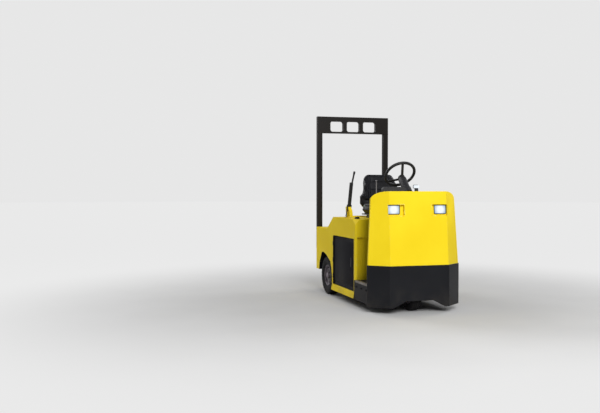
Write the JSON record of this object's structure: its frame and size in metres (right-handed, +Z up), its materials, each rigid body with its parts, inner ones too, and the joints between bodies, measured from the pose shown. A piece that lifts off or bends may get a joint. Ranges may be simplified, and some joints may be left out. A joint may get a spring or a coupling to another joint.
{
  "type": "electric three-wheel tow tractor",
  "caption": "Small electric baggage tug with a cowl, bumper, step-through footwell, seat on a battery box, guard frame, steered front wheel and tow hitch.",
  "frame": {"origin": "on the floor, midway between the tow hitch's rear edge and the front bumper, on the centre line", "axes": "+X forward, +Y to the driver's left, +Z up"},
  "size_m": [1.99, 0.942, 2],
  "materials": {
    "yellow_paint": "semi-gloss enamel",
    "black_paint": "satin enamel",
    "bumper_steel": "semi-gloss enamel",
    "axle_steel": "dull enamel",
    "trim_metal": "brushed",
    "rim_paint": "satin",
    "tyre": "matte",
    "mat_rubber": "ribbed",
    "moulded_black": "fine grain",
    "seat_vinyl": "grained vinyl",
    "lamp_glass": "clear",
    "red_lens": "clear red",
    "battery_case": "satin",
    "grey_metal": "satin"
  },
  "bodies": {
    "vehicle": {"chassis": "black_paint", "sills": "yellow_paint", "step_trims": "trim_metal", "floor_mat": "mat_rubber", "wheel_tunnel": "black_paint", "front_bumper": "bumper_steel", "cowl": "yellow_paint", "headlamp_right": "yellow_paint", "headlamp_left": "yellow_paint", "headlamp_lens_right": "lamp_glass", "headlamp_lens_left": "lamp_glass", "marker_foot": "moulded_black", "marker_lens": "lamp_glass", "dash_panel": "moulded_black", "pedestal": "moulded_black", "dash_rod": "grey_metal", "steering_column": "moulded_black", "brake_pedal": "black_paint", "drive_pedal": "black_paint", "rear_body": "yellow_paint", "footwell_panel": "yellow_paint", "arch_liners": "black_paint", "battery": "battery_case", "lever_bracket": "yellow_paint", "hand_lever": "black_paint", "guard_frame": "black_paint", "tow_hitch": "axle_steel", "rear_lamps": "moulded_black", "rear_lamp_lenses": "red_lens", "rear_axle": "axle_steel", "drive_motor": "axle_steel"},
    "steering_handwheel": {"steering_wheel": "moulded_black"},
    "door_right": {"battery_door_right": "black_paint"},
    "door_left": {"battery_door_left": "black_paint"},
    "seat_lid": {"seat_deck": "yellow_paint", "seat_base": "black_paint", "seat_cushion": "seat_vinyl", "seat_backrest": "seat_vinyl"},
    "rear_wheel_right": {"rear_tyre_right": "tyre", "rear_rim_right": "rim_paint"},
    "rear_wheel_left": {"rear_tyre_left": "tyre", "rear_rim_left": "rim_paint"},
    "steer_head": {"steer_fork": "axle_steel"},
    "front_wheel": {"front_tyre": "tyre", "front_rim": "rim_paint"}
  },
  "joints": [
    {"name": "rear_right_roll", "type": "hinge", "parent": "vehicle", "child": "rear_wheel_right", "pos_m": [-0.498, -0.39, 0.2075], "axis": [0, 1, 0], "continuous": true},
    {"name": "rear_left_roll", "type": "hinge", "parent": "vehicle", "child": "rear_wheel_left", "pos_m": [-0.498, 0.39, 0.2075], "axis": [0, 1, 0], "continuous": true},
    {"name": "steer", "type": "hinge", "parent": "vehicle", "child": "steer_head", "pos_m": [0.792, 0, 0.1525], "axis": [0, 0, 1], "range_deg": [-75, 75]},
    {"name": "front_roll", "type": "hinge", "parent": "steer_head", "child": "front_wheel", "pos_m": [0.792, 0, 0.1525], "axis": [0, 1, 0], "continuous": true},
    {"name": "handwheel_turn", "type": "hinge", "parent": "vehicle", "child": "steering_handwheel", "pos_m": [0.512, 0, 1.311], "axis": [-0.7314, 0, 0.682], "range_deg": [-600, 600]},
    {"name": "door_right_swing", "type": "hinge", "parent": "vehicle", "child": "door_right", "pos_m": [-0.208, -0.4583, 0.408], "axis": [0, 0, -1], "range_deg": [0, 110]},
    {"name": "door_left_swing", "type": "hinge", "parent": "vehicle", "child": "door_left", "pos_m": [-0.208, 0.4583, 0.408], "axis": [0, 0, 1], "range_deg": [0, 110]},
    {"name": "seat_lid_lift", "type": "hinge", "parent": "vehicle", "child": "seat_lid", "pos_m": [-0.188, 0, 0.8703], "axis": [0, -1, 0], "range_deg": [0, 60]}
  ],
  "couplings": [
    {"joint": "handwheel_turn", "follows": "steer", "ratio": 8}
  ]
}
